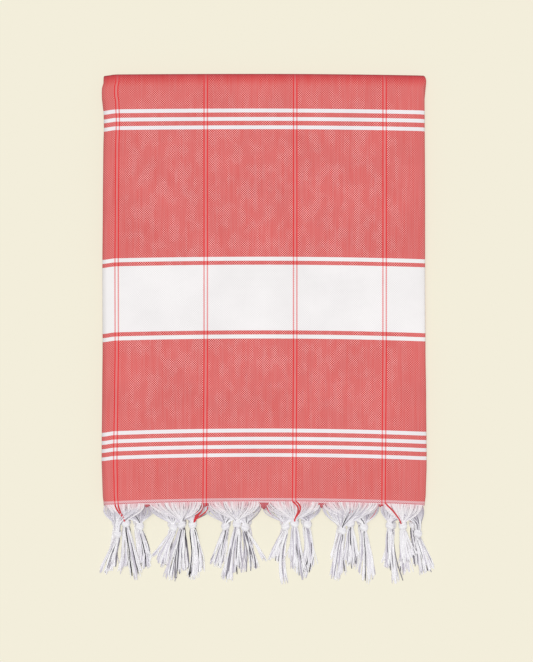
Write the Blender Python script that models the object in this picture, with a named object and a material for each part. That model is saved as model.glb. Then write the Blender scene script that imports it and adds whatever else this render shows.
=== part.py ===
# A striped cotton towel folded flat, with knotted tassels at both of its ends.
# Units are metres. The folded face looks up along +Z and the tassels lie towards -Y.
# The origin is at the middle of the flat underside.

import math
import random

import bmesh
import bpy

MM = 0.001

# The cloth sheet and the stack it is folded into
FACE_WIDTH = 330 * MM
FACE_LENGTH = 437 * MM
SHEET = 1.0 * MM
LAYER_GAP = 0.4 * MM
LAYER_PITCH = SHEET + LAYER_GAP
STRIP_PITCH = 3 * LAYER_PITCH
HALF_WIDTH = FACE_WIDTH / 2
HALF_LENGTH = FACE_LENGTH / 2

# The two side folds: the small one takes one third in, the large one wraps round it
SMALL_FOLD = LAYER_PITCH / 2
LARGE_FOLD = LAYER_PITCH
INNER_EDGE_SETBACK = 5 * MM
UNDER_EDGE_SETBACK = 5 * MM

# The four runs of the folded strip, counted from the floor, and the folds that join them
RUN_Z = [(SHEET / 2 + LAYER_PITCH) + level * STRIP_PITCH for level in range(4)]
CROSS_FOLD = STRIP_PITCH / 2
WRAP_FOLD = 3 * STRIP_PITCH / 2
TOP_EASE = 0.7 * MM
FOLD_Y = HALF_LENGTH - WRAP_FOLD - LAYER_PITCH - SHEET / 2 + TOP_EASE
LOWER_FOLD_Y = -HALF_LENGTH + 6.5 * MM
UPPER_END_Y = -HALF_LENGTH
LOWER_END_Y = -HALF_LENGTH + 1 * MM

# How finely the sheet is divided, as shares of a layer or a run
ACROSS_SHARES = (0.0, 0.08, 0.3, 0.5, 0.7, 0.92, 1.0)
ALONG_SHARES = (0.0, 0.04, 0.25, 0.5, 0.75, 0.91, 0.97, 1.0)
SIDE_FOLD_STEPS = 4
CROSS_FOLD_STEPS = 4
WRAP_FOLD_STEPS = 7

# How unevenly the soft stack lies: the weft bows, the sides wander, the runs slip sideways
BOW_AT_FOLD = 0.6 * MM
BOW_AT_FOLD_RIGHT = 1.7 * MM
BOW_AT_HEM = 3.8 * MM
BOW_POWER = 2.1
LEFT_DIP = 1.3 * MM
DIP_ZONE = 14 * MM
DIP_FADE = 60 * MM
SIDE_ZONE = 45 * MM
SWELL_ACROSS = 0.025
SWELL_ALONG = 0.03
SWELL_TURN_ACROSS = 3.1
SWELL_TURN_ALONG = 4.0
SWELL_START = 0.5
SWELL_FADE = 15 * MM
RUN_SLIP = (-0.9 * MM, 0.7 * MM, -0.5 * MM, 0.0)

# Side edges, as (y, outward shift) in mm
LEFT_SIDE = (
    (219, -1.7), (212, -1.5), (204, 0.4), (197, 0.2), (190, -1.3), (172, -2.1), (140, -1.3),
    (90, -0.9), (20, -0.4), (-60, -0.6), (-100, -0.2), (-170, 0.4), (-205, -0.6), (-219, -1.8),
)
RIGHT_SIDE = (
    (219, 0.6), (213, 1.2), (206, -0.9), (190, -0.7), (90, -0.2), (20, -0.2), (-60, 0.2),
    (-110, 0.9), (-175, 1.4), (-205, 0.6), (-219, -0.6),
)

# One knotted tassel: a fan of warp ends, a neck, a knot and a tail of locks
HEM_GAP = 0.5 * MM
KNOT_WIDTH = 7.8 * MM
KNOT_LENGTH = 10.4 * MM
KNOT_HEIGHT = 5.4 * MM
NECK_WIDTH = 4.8 * MM
NECK_REACH = 13 * MM
NECK_TO_KNOT = 0.8 * MM
FAN_CLOSING = 1.0
LOCK_WIDTH = 1.9 * MM
LOCK_HEIGHT = 1.6 * MM
LOCK_PARTING = 0.35 * MM
SECTION_ROUNDING = 0.55

# Rings of the fan, as (share of the way from the hem to the neck, height in mm)
FAN_RINGS = ((0.0, 0.8), (0.3, 0.9), (0.62, 1.0), (1.0, 1.8))

# Rings of the knot, as (place along it, share of its width, share of its height)
KNOT_RINGS = ((-0.5, 0.66, 0.66), (-0.3, 1.0, 1.0), (0.28, 1.0, 1.0), (0.5, 0.72, 0.7))

# Stations of a lock, as (share of the tail, share of the way down, share of full section)
LOCK_STATIONS = ((0.13, 0.6, 0.9), (0.36, 1.0, 1.0), (0.7, 1.0, 1.0), (1.0, 1.0, 0.62))

# The tassels of both ends, from the top of the stack down. A layer is named by the third of the
# width that it is, and the columns are (end, layer, run, layers above the run's middle, drop to
# the neck, height of the knot, height under the tail), in mm
LAYERS = (
    ("upper", "face", 3, 1, 4.6, 9.8, 4.1),
    ("upper", "inner", 3, 0, 4.6, 9.0, 2.1),
    ("upper", "under", 3, -1, 4.6, 8.5, 2.1),
    ("lower", "under", 2, 1, 6.2, 2.7, 0.0),
    ("lower", "inner", 2, 0, 6.2, 2.7, 0.0),
    ("lower", "face", 2, -1, 6.2, 2.7, 0.0),
)

# Where each group's tassels leave the hem, as (left edge, right edge) of the face's fans in mm
FACE_FANS = (
    (-162.0, -121.5), (-116.5, -62.6), (-56.0, -2.8), (3.0, 57.4), (60.0, 117.0), (121.8, 162.0),
)

# Upper tassels, in mm: (knot x, knot y, sideways bulge of the tail, places of the locks' tips)
UPPER_TASSELS = {
    "face": (
        (-141.0, -240.4, 1.0, ((-146.9, -289.5), (-141.2, -285.4), (-135.6, -296.7),
                               (-131.5, -298.7), (-126.9, -295.6))),
        (-83.9, -241.5, -1.0, ((-99.7, -296.7), (-95.1, -298.7), (-91.0, -299.7),
                               (-86.3, -293.6), (-82.2, -289.5))),
        (-27.4, -240.9, -1.0, ((-41.2, -298.7), (-37.1, -300.8), (-33.0, -299.7),
                               (-28.9, -293.6), (-25.3, -287.4))),
        (31.5, -240.4, -0.5, ((27.5, -280.2), (31.6, -287.4), (35.7, -294.6),
                              (39.8, -297.7), (42.9, -290.5))),
        (88.7, -240.4, 0.5, ((83.4, -279.2), (86.5, -284.4), (90.1, -286.4),
                             (93.7, -282.3), (96.8, -276.1))),
        (142.3, -243.0, 0.5, ((140.9, -279.2), (144.5, -282.3), (148.1, -280.2),
                              (151.6, -276.1), (155.2, -274.1))),
    ),
    "inner": (
        (-149.6, -251.0, -1.0, ((-166.9, -290.5), (-162.3, -292.6), (-157.1, -289.5),
                                (-152.5, -285.4))),
        (-92.3, -244.5, -2.5, ((-112.6, -275.1), (-108.7, -281.3), (-104.3, -285.4),
                               (-100.7, -280.2))),
        (-39.0, -243.5, -1.0, ((-53.0, -282.3), (-49.4, -285.4), (-45.8, -286.4),
                               (-42.7, -282.3))),
        (22.3, -243.5, -4.0, ((6.0, -279.2), (10.6, -275.1), (18.8, -302.8), (23.4, -302.8))),
        (80.2, -247.6, -1.5, ((70.1, -297.7), (73.2, -299.7), (76.8, -299.7), (79.8, -293.6))),
        (129.1, -242.5, -1.0, ((126.5, -287.4), (130.1, -288.5), (134.2, -302.8),
                               (137.8, -301.8))),
    ),
    "under": (
        (-126.8, -243.5, 2.5, ((-125.8, -283.3), (-122.4, -288.5), (-119.0, -287.4),
                               (-116.3, -280.2))),
        (-72.7, -241.5, 2.6, ((-76.6, -296.7), (-72.8, -299.7), (-69.0, -297.5),
                              (-65.2, -291.5))),
        (-18.9, -244.5, 1.5, ((-18.6, -290.5), (-13.0, -289.5), (-7.4, -286.4),
                              (0.8, -280.2))),
        (44.8, -241.5, 3.5, ((38.6, -292.0), (41.6, -296.7), (45.6, -291.5), (49.0, -285.0))),
        (102.5, -244.5, 1.5, ((97.8, -293.6), (102.9, -300.8), (108.0, -302.8),
                              (112.7, -297.7))),
        (157.7, -250.7, 1.0, ((161.9, -293.6), (166.0, -292.6), (170.1, -290.5),
                              (173.7, -287.4))),
    ),
}

# The lower end's tassels lie on the floor under them, as offsets from the face's knot in mm:
# (knot x, knot y, middle of the tips x, tips y, locks)
LOWER_TASSELS = {
    "under": (0.5, 1.0, 3.0, -47.0, 4),
    "inner": (-10.5, 0.0, -16.0, -42.0, 3),
    "face": (11.0, 1.5, 16.0, -43.0, 3),
}
LOWER_LOCK_STEP = 2.8
LOWER_TIP_VARIATION = 4.0


def remove_everything():
    for thing in list(bpy.data.objects):
        bpy.data.objects.remove(thing, do_unlink=True)


def make_material(name, colour, roughness):
    material = bpy.data.materials.new(name)
    material.use_nodes = True
    shader = material.node_tree.nodes["Principled BSDF"]
    shader.inputs["Base Color"].default_value = (*colour, 1.0)
    shader.inputs["Roughness"].default_value = roughness
    shader.inputs["Metallic"].default_value = 0.0
    return material


def add_object(name, bm, material):
    mesh = bpy.data.meshes.new(name)
    bm.to_mesh(mesh)
    bm.free()
    mesh.materials.append(material)
    thing = bpy.data.objects.new(name, mesh)
    bpy.context.scene.collection.objects.link(thing)
    return thing


def smooth(share):
    share = min(max(share, 0.0), 1.0)
    return share * share * (3 - 2 * share)


def blend(start, end, share):
    return start + (end - start) * share


def side_shift(table, y):
    rows = [(row_y * MM, shift * MM) for row_y, shift in table]
    if y >= rows[0][0]:
        return rows[0][1]
    for (high_y, high), (low_y, low) in zip(rows, rows[1:]):
        if y >= low_y:
            return blend(high, low, smooth((high_y - y) / (high_y - low_y)))
    return rows[-1][1]


def bow(x, y):
    down = min(max((HALF_LENGTH - y) / FACE_LENGTH, 0.0), 1.0)
    at_fold = BOW_AT_FOLD if x < 0 else BOW_AT_FOLD_RIGHT
    above_hem = smooth((y + HALF_LENGTH) / DIP_FADE)
    dip = LEFT_DIP * smooth((-x - HALF_WIDTH) / DIP_ZONE + 1) * above_hem
    return blend(at_fold, BOW_AT_HEM, down) * (abs(x) / HALF_WIDTH) ** BOW_POWER + dip


def settle(x, y, z):
    """Moves a point of the tidy stack to where the soft cloth lies. The floor stays flat."""
    leftward = smooth((-HALF_WIDTH + SIDE_ZONE - x) / SIDE_ZONE)
    rightward = smooth((x - HALF_WIDTH + SIDE_ZONE) / SIDE_ZONE)
    beyond_hem = smooth((UPPER_END_Y - y) / SWELL_FADE)
    swell = SWELL_ACROSS * math.cos(SWELL_TURN_ACROSS * x / HALF_WIDTH + SWELL_START)
    swell += SWELL_ALONG * math.sin(SWELL_TURN_ALONG * y / HALF_LENGTH)
    shift = rightward * side_shift(RIGHT_SIDE, y) - leftward * side_shift(LEFT_SIDE, y)
    new_x = x + shift * (1 - beyond_hem)
    new_z = z * (1 + swell * (1 - beyond_hem))
    return new_x, y - bow(x, y), new_z


def arc(centre, radius, start, end, steps):
    """Points inside an arc and their outward directions, without its two ends."""
    points = []
    for step in range(1, steps):
        angle = math.radians(blend(start, end, step / steps))
        along, up = math.cos(angle), math.sin(angle)
        points.append((centre[0] + radius * along, centre[1] + radius * up, along, up))
    return points


def layer(start, end, height, normal, shares):
    return [(blend(start, end, share), height, 0.0, normal) for share in shares]


def cross_section():
    """The cloth's width as a letter fold: (x, height, normal x, normal height) of its middle."""
    left = -HALF_WIDTH + SMALL_FOLD + SHEET / 2
    right = HALF_WIDTH - LARGE_FOLD - SHEET / 2
    shares = ACROSS_SHARES
    points = layer(right - INNER_EDGE_SETBACK, left, 0.0, -1.0, shares)
    points += arc((left, SMALL_FOLD), SMALL_FOLD, 270, 90, SIDE_FOLD_STEPS)
    points += layer(left, right, LAYER_PITCH, 1.0, shares)
    points += arc((right, 0.0), LARGE_FOLD, 90, -90, SIDE_FOLD_STEPS)
    points += layer(right, left + UNDER_EDGE_SETBACK, -LAYER_PITCH, -1.0, shares)
    return points


def strip_path():
    """The strip's length, folded in four: (y, z, face's y, face's z, sideways slip).

    The face looks out of every fold but the one inside the stack, where it looks in.
    """
    fourth, third, second, first = RUN_Z
    shares = ALONG_SHARES
    back = [1 - share for share in reversed(shares)]
    wrap_centre = (FOLD_Y, (first + fourth) / 2)
    inner_centre = (FOLD_Y, (second + third) / 2)
    lower_centre = (LOWER_FOLD_Y, (third + fourth) / 2)
    pieces = (
        (layer(UPPER_END_Y, FOLD_Y, first, 1.0, shares), 3, 3, 1),
        (arc(wrap_centre, WRAP_FOLD, 90, -90, WRAP_FOLD_STEPS), 3, 0, 1),
        (layer(FOLD_Y, LOWER_FOLD_Y, fourth, -1.0, back), 0, 0, 1),
        (arc(lower_centre, CROSS_FOLD, 270, 90, CROSS_FOLD_STEPS), 0, 1, 1),
        (layer(LOWER_FOLD_Y, FOLD_Y, third, 1.0, shares), 1, 1, 1),
        (arc(inner_centre, CROSS_FOLD, -90, 90, CROSS_FOLD_STEPS), 1, 2, -1),
        (layer(FOLD_Y, LOWER_END_Y, second, -1.0, back), 2, 2, 1),
    )
    path = []
    for points, slip_from, slip_to, facing in pieces:
        for place, (y, z, face_y, face_z) in enumerate(points, start=1):
            slip = blend(RUN_SLIP[slip_from], RUN_SLIP[slip_to], place / (len(points) + 1))
            path.append((y, z, facing * face_y, facing * face_z, slip))
    return path


def make_cloth(material):
    """A flat slab of cloth, folded point by point along its width and then its length."""
    section = cross_section()
    path = strip_path()
    columns = len(section) - 1
    rows = len(path) - 1
    bm = bmesh.new()
    bmesh.ops.create_grid(bm, x_segments=columns, y_segments=rows, size=1.0)
    grown = bmesh.ops.extrude_face_region(bm, geom=bm.faces[:])
    outer = {item for item in grown["geom"] if isinstance(item, bmesh.types.BMVert)}
    for vert in bm.verts:
        x, height, normal_x, normal_height = section[round((vert.co.x + 1) / 2 * columns)]
        y, z, face_y, face_z, slip = path[round((vert.co.y + 1) / 2 * rows)]
        offset = SHEET / 2 if vert in outer else -SHEET / 2
        x += offset * normal_x + slip
        height += offset * normal_height
        vert.co = settle(x, y + height * face_y, z + height * face_z)
    bmesh.ops.recalc_face_normals(bm, faces=bm.faces[:])
    return add_object("cloth", bm, material)


def tassel_rings(hem, knot):
    """Sections of the fan, neck and knot: (x, y, z, width, height) from the hem outwards."""
    hem_x = (hem["left"] + hem["right"]) / 2
    hem_width = hem["right"] - hem["left"]
    knot_start = knot[1] + KNOT_LENGTH / 2
    neck_y = max(hem["y"] - NECK_REACH, knot_start + NECK_TO_KNOT)
    rings = []
    for reach, height in FAN_RINGS:
        y = blend(hem["y"] - HEM_GAP, neck_y, reach)
        x = blend(hem_x, knot[0], reach)
        z = blend(hem["z"], hem["neck_z"], smooth(reach))
        rings.append((x, y, z, blend(hem_width, NECK_WIDTH, reach ** FAN_CLOSING), height * MM))
    for place, wide, high in KNOT_RINGS:
        y = knot[1] - place * KNOT_LENGTH
        rings.append((knot[0], y, knot[2], wide * KNOT_WIDTH, high * KNOT_HEIGHT))
    return rings


def swing(tail, y):
    """How far a tail bulges sideways at y, the same for all of its locks."""
    down = (tail["start_y"] - y) / (tail["start_y"] - tail["longest"])
    return tail["bulge"] * math.sin(math.pi * down)


def add_lock(bm, face, throat, tail, number):
    """Draws one lock out of a face of the throat, down to the height it rests at."""
    ends = tail["straight_ends"]
    end_x, end_y = ends[number]
    throat_step = throat[3] / len(ends)
    end_step = min(right[0] - left[0] for left, right in zip(ends, ends[1:]))
    start_x = throat[0] + (number - (len(ends) - 1) / 2) * throat_step
    for share, down, full in LOCK_STATIONS:
        width = min(LOCK_WIDTH, blend(throat_step, end_step, share) - LOCK_PARTING) * full
        height = LOCK_HEIGHT * full
        y = blend(throat[1], blend(tail["longest"], end_y, share), share)
        x = blend(start_x, end_x, share) + swing(tail, y)
        z = blend(throat[2], tail["floor"] + height / 2, down)
        old_centre = face.calc_center_median()
        face = bmesh.ops.extrude_discrete_faces(bm, faces=[face])["faces"][0]
        for vert in face.verts:
            side = 1 if vert.co.x > old_centre.x else -1
            level = 1 if vert.co.z > old_centre.z else -1
            vert.co = (x + side * width / 2, y, z + level * height / 2)


def make_tassel(name, material, hem, knot, tail):
    """A row of faces drawn out from the hem into a fan and a knot, then parted into locks."""
    bm = bmesh.new()
    bmesh.ops.create_grid(bm, x_segments=len(tail["straight_ends"]), y_segments=1, size=1.0)
    across = bm.verts.layers.float.new("across")
    level = bm.verts.layers.float.new("level")
    for vert in bm.verts:
        vert[across] = vert.co.x
        vert[level] = vert.co.y
    section = bm.faces[:]
    rings = tassel_rings(hem, knot)
    for number, (x, y, z, width, height) in enumerate(rings):
        if number:
            edges = {edge for face in section for edge in face.edges}
            grown = bmesh.ops.extrude_face_region(bm, geom=section + list(edges))["geom"]
            section = [item for item in grown if isinstance(item, bmesh.types.BMFace)]
        for vert in {vert for face in section for vert in face.verts}:
            thin = 1 - SECTION_ROUNDING * vert[across] ** 2
            vert.co = (x + vert[across] * width / 2, y, z + vert[level] * thin * height / 2)

    section.sort(key=lambda face: face.calc_center_median().x)
    bmesh.ops.inset_individual(bm, faces=section, thickness=LOCK_PARTING / 2, use_even_offset=True)
    for number, face in enumerate(section):
        add_lock(bm, face, rings[-1], tail, number)
    for vert in bm.verts:
        vert.co = settle(*vert.co)
    bmesh.ops.recalc_face_normals(bm, faces=bm.faces[:])
    return add_object(name, bm, material)


def lower_row(layer_name, group, chance):
    """A row like those of UPPER_TASSELS for a tassel that lies on the floor under the face's."""
    face_x, face_y = UPPER_TASSELS["face"][group][:2]
    knot_dx, knot_dy, tail_dx, tail_dy, locks = LOWER_TASSELS[layer_name]
    tips = []
    for lock in range(locks):
        tip_x = face_x + tail_dx + (lock - (locks - 1) / 2) * LOWER_LOCK_STEP
        vary = chance.uniform(-LOWER_TIP_VARIATION, LOWER_TIP_VARIATION)
        tips.append((tip_x, face_y + tail_dy + vary))
    return face_x + knot_dx, face_y + knot_dy, 0.0, tips


def make_tassels(material):
    chance = random.Random(11)
    for end, layer_name, run, layers_up, neck_drop, knot_height, floor in LAYERS:
        upper = end == "upper"
        hem_y = UPPER_END_Y if upper else LOWER_END_Y
        hem_z = RUN_Z[run] + layers_up * LAYER_PITCH
        for group, (left, right) in enumerate(FACE_FANS):
            row = UPPER_TASSELS[layer_name][group] if upper else lower_row(layer_name, group, chance)
            knot_x, knot_y, bulge, tips = row
            bow_here = bow(knot_x * MM, UPPER_END_Y)
            hem = {"left": left * MM, "right": right * MM, "y": hem_y, "z": hem_z}
            hem["neck_z"] = hem_z - neck_drop * MM
            knot = (knot_x * MM, knot_y * MM + bow_here, knot_height * MM)
            tail = {"floor": floor * MM, "bulge": bulge * MM}
            tips = [(x * MM, y * MM + bow_here) for x, y in tips]
            tail.update(start_y=knot[1] - KNOT_LENGTH / 2, longest=min(y for _, y in tips))
            tail["straight_ends"] = [(x - swing(tail, y), y) for x, y in tips]
            make_tassel(f"tassel_{end}_{layer_name}_{group + 1}", material, hem, knot, tail)


def main():
    remove_everything()
    cloth_material = make_material("striped_cotton", (0.736, 0.19, 0.181), 0.92)
    yarn_material = make_material("white_cotton_yarn", (0.84, 0.81, 0.86), 0.9)
    make_cloth(cloth_material)
    make_tassels(yarn_material)


main()
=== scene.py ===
# %% [markdown]
# # A striped cotton towel, folded flat, with knotted tassels
# The towel is one flat-woven cloth. Its white warp threads run the whole length and hang out of
# both ends, where they are gathered into fans and knotted. This script dresses the plain solids
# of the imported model: a thin woven cloth for the folded stack, and yarns for every tassel.
# All sizes are in metres, with millimetres written as `value * MM`.

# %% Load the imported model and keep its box
import math
import random

import bmesh
import bpy
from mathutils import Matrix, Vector, noise


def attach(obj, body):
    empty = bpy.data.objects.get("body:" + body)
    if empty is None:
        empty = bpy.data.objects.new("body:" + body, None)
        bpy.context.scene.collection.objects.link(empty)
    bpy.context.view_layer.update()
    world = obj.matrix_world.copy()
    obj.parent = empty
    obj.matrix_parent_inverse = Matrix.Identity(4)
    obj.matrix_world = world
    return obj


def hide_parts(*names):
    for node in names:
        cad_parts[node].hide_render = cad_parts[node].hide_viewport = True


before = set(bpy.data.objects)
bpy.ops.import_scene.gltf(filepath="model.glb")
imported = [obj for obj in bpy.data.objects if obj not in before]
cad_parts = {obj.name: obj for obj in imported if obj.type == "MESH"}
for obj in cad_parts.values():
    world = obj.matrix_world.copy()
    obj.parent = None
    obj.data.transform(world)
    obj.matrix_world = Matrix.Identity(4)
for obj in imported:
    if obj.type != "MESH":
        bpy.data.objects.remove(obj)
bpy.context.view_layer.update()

MM = 0.001

# %% [markdown]
# ## The view
# The photograph looks straight down on the towel. A long lens from nearly two metres above gives
# almost no perspective, so the side edges stay parallel. The distance follows from the towel's
# real size: one pixel of the picture is 1.0185 mm on the upper face.

# %% Place the camera
PIXEL = 1.0185 * MM
LONG_SIDE = 662
LENS = 100 * MM
SENSOR = 36 * MM
FACE_HEIGHT = 16.5 * MM
VIEW_CENTRE = (2.9 * MM, -43.8 * MM)

camera_data = bpy.data.cameras.new("overhead_camera")
camera_data.lens = LENS / MM
camera_data.sensor_width = SENSOR / MM
camera = bpy.data.objects.new("overhead_camera", camera_data)
bpy.context.scene.collection.objects.link(camera)
camera_height = FACE_HEIGHT + PIXEL * LONG_SIDE * LENS / SENSOR
camera.location = (*VIEW_CENTRE, camera_height)
bpy.context.scene.camera = camera
print("camera height", round(camera_height, 3), "m")

# %% [markdown]
# ## Helpers for materials
# Colours are picked as sRGB hex values, because that is how a picture stores them. Blender's
# shaders work with linear light, so one function turns the one into the other. A second one adds
# a shader node with its settings and its links, which keeps a whole material readable.

# %% Turn a hex colour to linear, and add a node


def linear(hex_colour):
    """An sRGB hex colour such as "#F3EEDB" as linear red, green, blue and alpha."""
    channels = [int(hex_colour[place:place + 2], 16) / 255 for place in (1, 3, 5)]
    light = [((c + 0.055) / 1.055) ** 2.4 if c > 0.04045 else c / 12.92 for c in channels]
    return (*light, 1.0)


def add_node(tree, kind, inputs=None, **settings):
    """Adds a shader node. An input is a plain value or the output of another node."""
    node = tree.nodes.new("ShaderNode" + kind)
    for name, value in settings.items():
        setattr(node, name, value)
    for socket, value in (inputs or {}).items():
        if isinstance(value, bpy.types.NodeSocket):
            tree.links.new(value, node.inputs[socket])
        else:
            node.inputs[socket].default_value = value
    return node


def new_material(name):
    """A material with an empty Principled shader, and its node tree."""
    material = bpy.data.materials.new(name)
    material.use_nodes = True
    tree = material.node_tree
    return material, tree, tree.nodes["Principled BSDF"]


# The colour sockets of a Mix node: its two inputs and its output
MIX_A, MIX_B, MIX_COLOUR = 6, 7, 2
print("white is", [round(channel, 3) for channel in linear("#FFFFFF")])

# %% [markdown]
# ## Floor and light
# The towel lies on a plain cream ground. A wide lamp high above it, drawn as a sun, gives most of
# the light, as a softbox over a table does: it rounds the yarns and keeps the shadows short. An
# even sky fills the rest. Together they light a level surface with a strength of one, so a colour
# that is picked in the picture comes out as it was. Most of the ground's light is a glow, like a
# light table's, because the towel in the picture throws hardly any shadow. The ground lies a
# hair below the towel, so that the two never share a surface.

# %% Make the floor, the sky and the lamp
GROUND_COLOUR = "#F3EEDB"
GROUND_GLOW = 0.7
GROUND_HALF = 8.0
GROUND_GAP = 0.2 * MM
SKY_STRENGTH = 0.38
SUN_SHARE = 1 - SKY_STRENGTH
SUN_TILT = math.radians(5)
SUN_TURN = math.radians(45)
SUN_WIDTH = math.radians(38)

bm = bmesh.new()
bmesh.ops.create_grid(bm, x_segments=1, y_segments=1, size=GROUND_HALF)
bmesh.ops.translate(bm, vec=(0.0, 0.0, -GROUND_GAP), verts=bm.verts)
ground_mesh = bpy.data.meshes.new("ground")
bm.to_mesh(ground_mesh)
bm.free()
ground = bpy.data.objects.new("ground", ground_mesh)
bpy.context.scene.collection.objects.link(ground)
ground_material, tree, shader = new_material("matt_cream_paper")
lit_part = [channel * (1 - GROUND_GLOW) for channel in linear(GROUND_COLOUR)[:3]]
shader.inputs["Base Color"].default_value = (*lit_part, 1.0)
shader.inputs["Emission Color"].default_value = linear(GROUND_COLOUR)
shader.inputs["Emission Strength"].default_value = GROUND_GLOW
shader.inputs["Roughness"].default_value = 1.0
shader.inputs["Specular IOR Level"].default_value = 0.0
ground_mesh.materials.append(ground_material)

world = bpy.data.worlds.new("even_sky")
bpy.context.scene.world = world
world.use_nodes = True
sky = world.node_tree.nodes["Background"]
sky.inputs["Color"].default_value = (1.0, 1.0, 1.0, 1.0)
sky.inputs["Strength"].default_value = SKY_STRENGTH

sun_data = bpy.data.lights.new("wide_lamp", "SUN")
sun_data.energy = SUN_SHARE * math.pi / math.cos(SUN_TILT)
sun_data.angle = SUN_WIDTH
sun = bpy.data.objects.new("wide_lamp", sun_data)
sun.rotation_euler = (-SUN_TILT, 0.0, SUN_TURN)
bpy.context.scene.collection.objects.link(sun)
bpy.context.scene.view_settings.view_transform = "Standard"
print("sun energy", round(sun_data.energy, 3))

# %% [markdown]
# ## How the cloth is folded
# The real towel is folded like a letter: its width in three, then the strip's length in four. The
# solid was made by the same folding, so the cloth repeats its sizes. Each point of the flat cloth
# keeps its own place on the cloth, `across` from the inner selvedge and `along` from the upper
# hem. That place later draws the stripes, so they follow every fold as woven stripes do.

# %% Sizes of the folded stack, as in the solid
FACE_WIDTH = 330 * MM
FACE_LENGTH = 437 * MM
SHEET = 1.0 * MM
LAYER_PITCH = 1.4 * MM
STRIP_PITCH = 3 * LAYER_PITCH
HALF_WIDTH = FACE_WIDTH / 2
HALF_LENGTH = FACE_LENGTH / 2
SMALL_FOLD = LAYER_PITCH / 2
LARGE_FOLD = LAYER_PITCH
EDGE_SETBACK = 5 * MM
RUN_Z = [(SHEET / 2 + LAYER_PITCH) + level * STRIP_PITCH for level in range(4)]
CROSS_FOLD = STRIP_PITCH / 2
WRAP_FOLD = 3 * STRIP_PITCH / 2
TOP_EASE = 0.7 * MM
FOLD_Y = HALF_LENGTH - WRAP_FOLD - LAYER_PITCH - SHEET / 2 + TOP_EASE
LOWER_FOLD_Y = -HALF_LENGTH + 6.5 * MM
UPPER_END_Y = -HALF_LENGTH
LOWER_END_Y = -HALF_LENGTH + 1 * MM
RUN_SLIP = (-0.9 * MM, 0.7 * MM, -0.5 * MM, 0.0)
print("stack", round((RUN_Z[3] + LAYER_PITCH + SHEET / 2) / MM, 1), "mm high")

# %% [markdown]
# ## How unevenly it lies
# Cloth never lies ruler straight. The weft bows down towards both sides, the side edges wander by
# a millimetre and the stack swells and sinks. `settle` moves a point of the tidy stack to where
# the soft cloth lies, with the solid's numbers, and adds a faint relief of its own.

# %% The uneven lie of the cloth
BOW_AT_FOLD = 0.6 * MM
BOW_AT_FOLD_RIGHT = 1.7 * MM
LEFT_DIP = 1.3 * MM
DIP_ZONE = 14 * MM
DIP_FADE = 60 * MM
BOW_AT_HEM = 3.8 * MM
BOW_POWER = 2.1
SIDE_ZONE = 45 * MM
SWELL_ACROSS = 0.025
SWELL_ALONG = 0.03
SWELL_TURN_ACROSS = 3.1
SWELL_TURN_ALONG = 4.0
SWELL_START = 0.5
SWELL_FADE = 15 * MM
SIDE_DROOP = 0.15
DROOP_ZONE = 11 * MM

# Side edges, as (y, outward shift) in mm
LEFT_SIDE = (
    (219, -1.7), (212, -1.5), (204, 0.4), (197, 0.2), (190, -1.3), (172, -2.1), (140, -1.3),
    (90, -0.9), (20, -0.4), (-60, -0.6), (-100, -0.2), (-170, 0.4), (-205, -0.6), (-219, -1.8),
)
RIGHT_SIDE = (
    (219, 0.6), (213, 1.2), (206, -0.9), (190, -0.7), (90, -0.2), (20, -0.2), (-60, 0.2),
    (-110, 0.9), (-175, 1.4), (-205, 0.6), (-219, -0.6),
)


def smooth(share):
    share = min(max(share, 0.0), 1.0)
    return share * share * (3 - 2 * share)


def blend(start, end, share):
    return start + (end - start) * share


def side_shift(table, y):
    rows = [(row_y * MM, shift * MM) for row_y, shift in table]
    if y >= rows[0][0]:
        return rows[0][1]
    for (high_y, high), (low_y, low) in zip(rows, rows[1:]):
        if y >= low_y:
            return blend(high, low, smooth((high_y - y) / (high_y - low_y)))
    return rows[-1][1]


def bow(x, y):
    down = min(max((HALF_LENGTH - y) / FACE_LENGTH, 0.0), 1.0)
    at_fold = BOW_AT_FOLD if x < 0 else BOW_AT_FOLD_RIGHT
    above_hem = smooth((y + HALF_LENGTH) / DIP_FADE)
    dip = LEFT_DIP * smooth((-x - HALF_WIDTH) / DIP_ZONE + 1) * above_hem
    return blend(at_fold, BOW_AT_HEM, down) * (abs(x) / HALF_WIDTH) ** BOW_POWER + dip


def settle(x, y, z):
    """Moves a point of the tidy stack to where the soft cloth lies."""
    leftward = smooth((-HALF_WIDTH + SIDE_ZONE - x) / SIDE_ZONE)
    rightward = smooth((x - HALF_WIDTH + SIDE_ZONE) / SIDE_ZONE)
    beyond_hem = smooth((UPPER_END_Y - y) / SWELL_FADE)
    swell = SWELL_ACROSS * math.cos(SWELL_TURN_ACROSS * x / HALF_WIDTH + SWELL_START)
    swell += SWELL_ALONG * math.sin(SWELL_TURN_ALONG * y / HALF_LENGTH)
    swell -= SIDE_DROOP * max(0.0, (abs(x) - HALF_WIDTH + DROOP_ZONE) / DROOP_ZONE) ** 3
    shift = rightward * side_shift(RIGHT_SIDE, y) - leftward * side_shift(LEFT_SIDE, y)
    return x + shift * (1 - beyond_hem), y - bow(x, y), z * (1 + swell * (1 - beyond_hem))


print("weft bows by", round(bow(HALF_WIDTH, UPPER_END_Y) / MM, 1), "mm at the hem")

# %% [markdown]
# ## Places along the folds
# A fold is read as a list of places on the middle of the sheet, each with the direction that the
# cloth's outer side faces there. The same two lists served the solid. Here they are finer, most of
# all in the layer that the eye sees, and each place also knows how far along the flat cloth it is.

# %% The folded width and the folded length
FACE_COLUMNS = 110
HIDDEN_COLUMNS = 30
HEM_ROWS = (0.0, 1.5 * MM, 3.0 * MM)
HEM_ZONE = 5 * MM
FACE_ROWS = 86
HIDDEN_ROWS = 28
FOLD_STEPS = 7
WRAP_STEPS = 14


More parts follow.
